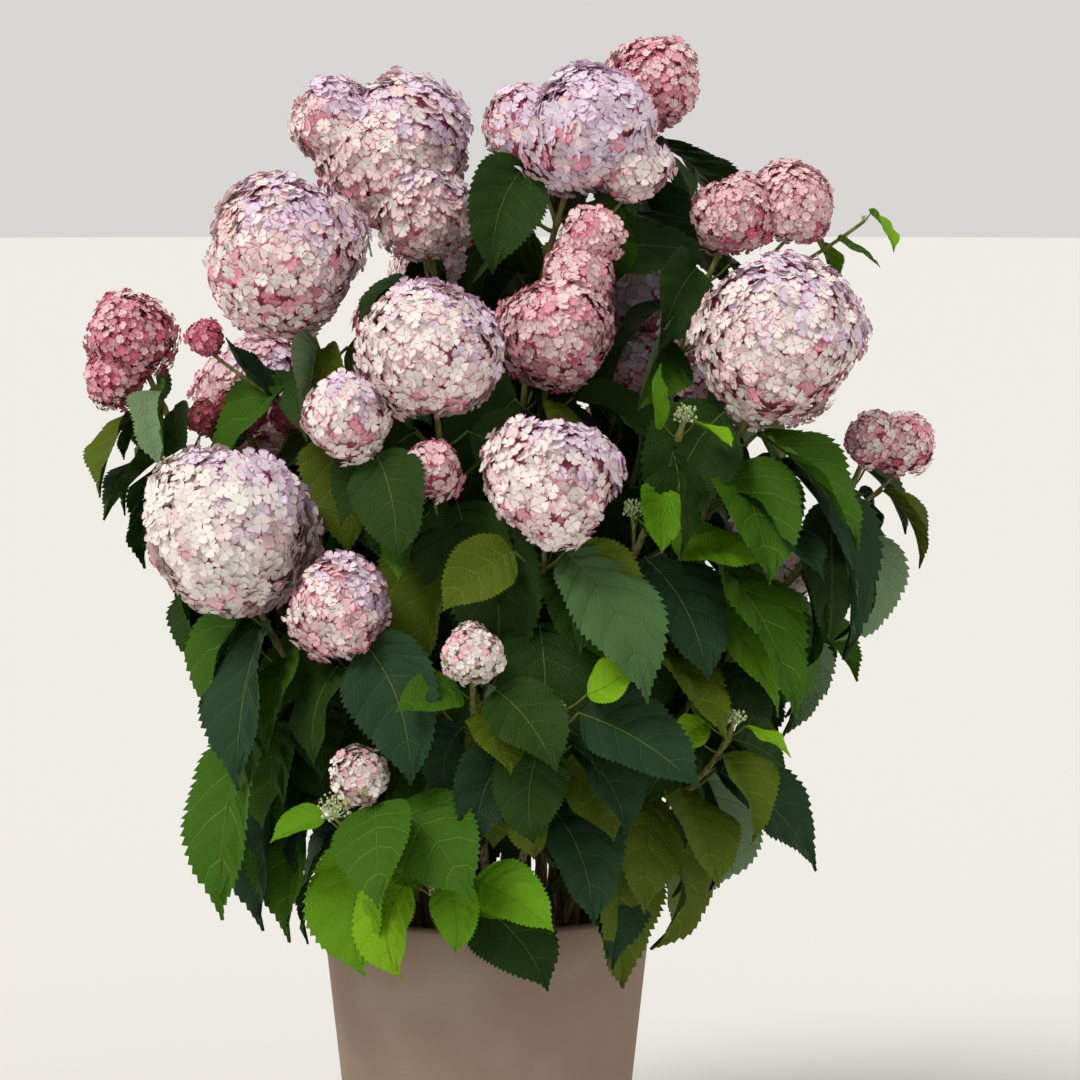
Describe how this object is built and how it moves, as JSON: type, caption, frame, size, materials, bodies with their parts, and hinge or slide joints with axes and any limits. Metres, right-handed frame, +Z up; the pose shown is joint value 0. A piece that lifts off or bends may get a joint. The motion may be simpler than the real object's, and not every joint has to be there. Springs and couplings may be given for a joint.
{
  "type": "hydrangea shrub in planter",
  "caption": "Garden hydrangea with large rounded pink and cream flower heads and toothed green leaves on slender canes, growing in a round tapered clay planter.",
  "frame": {"origin": "centre of the planter's flat underside", "axes": "+Z up along the planter's axis, -Y towards the plant's front as it was pictured, +X to the right of that view"},
  "size_m": [0.9106, 0.8031, 1.2883],
  "materials": {
    "clay": "matte",
    "compost": "matte",
    "stem": "matte",
    "foliage": "matte",
    "blossom": "matte"
  },
  "bodies": {
    "root": {"pot": "clay", "soil": "compost", "cane_top_centre": "stem", "shoot_top_centre": "blossom", "cane_top_left": "stem", "shoot_top_left": "blossom", "cane_upper_left": "stem", "shoot_upper_left": "blossom", "cane_right": "stem", "shoot_right": "blossom", "cane_middle": "stem", "shoot_middle": "blossom", "cane_left": "stem", "shoot_left": "blossom", "cane_centre": "stem", "shoot_centre": "blossom", "cane_upper_centre": "stem", "shoot_upper_centre": "blossom", "cane_top_right": "stem", "shoot_top_right": "blossom", "cane_right_back": "stem", "shoot_right_back": "blossom", "cane_far_left": "stem", "shoot_far_left": "blossom", "cane_far_right": "stem", "shoot_far_right": "blossom", "cane_left_small": "stem", "shoot_left_small": "blossom", "cane_low_centre": "stem", "shoot_low_centre": "blossom", "cane_low_left": "stem", "shoot_low_left": "blossom", "cane_bud_right": "stem", "shoot_bud_right": "foliage", "cane_bud_low_right": "stem", "shoot_bud_low_right": "foliage", "cane_rim_front": "stem", "shoot_rim_front": "foliage", "cane_front_young": "stem", "shoot_front_young": "foliage", "cane_rim_left": "stem", "shoot_rim_left": "foliage", "cane_inner_right": "stem", "shoot_inner_right": "blossom", "cane_inner_left": "stem", "shoot_inner_left": "blossom", "cane_low_right": "stem", "shoot_low_right": "blossom", "cane_back_top": "stem", "shoot_back_top": "blossom", "cane_back_left": "stem", "shoot_back_left": "blossom", "cane_back_right": "stem", "shoot_back_right": "blossom", "cane_back_low": "stem", "shoot_back_low": "blossom", "cane_rim_back": "stem", "shoot_rim_back": "foliage"}
  },
  "joints": []
}
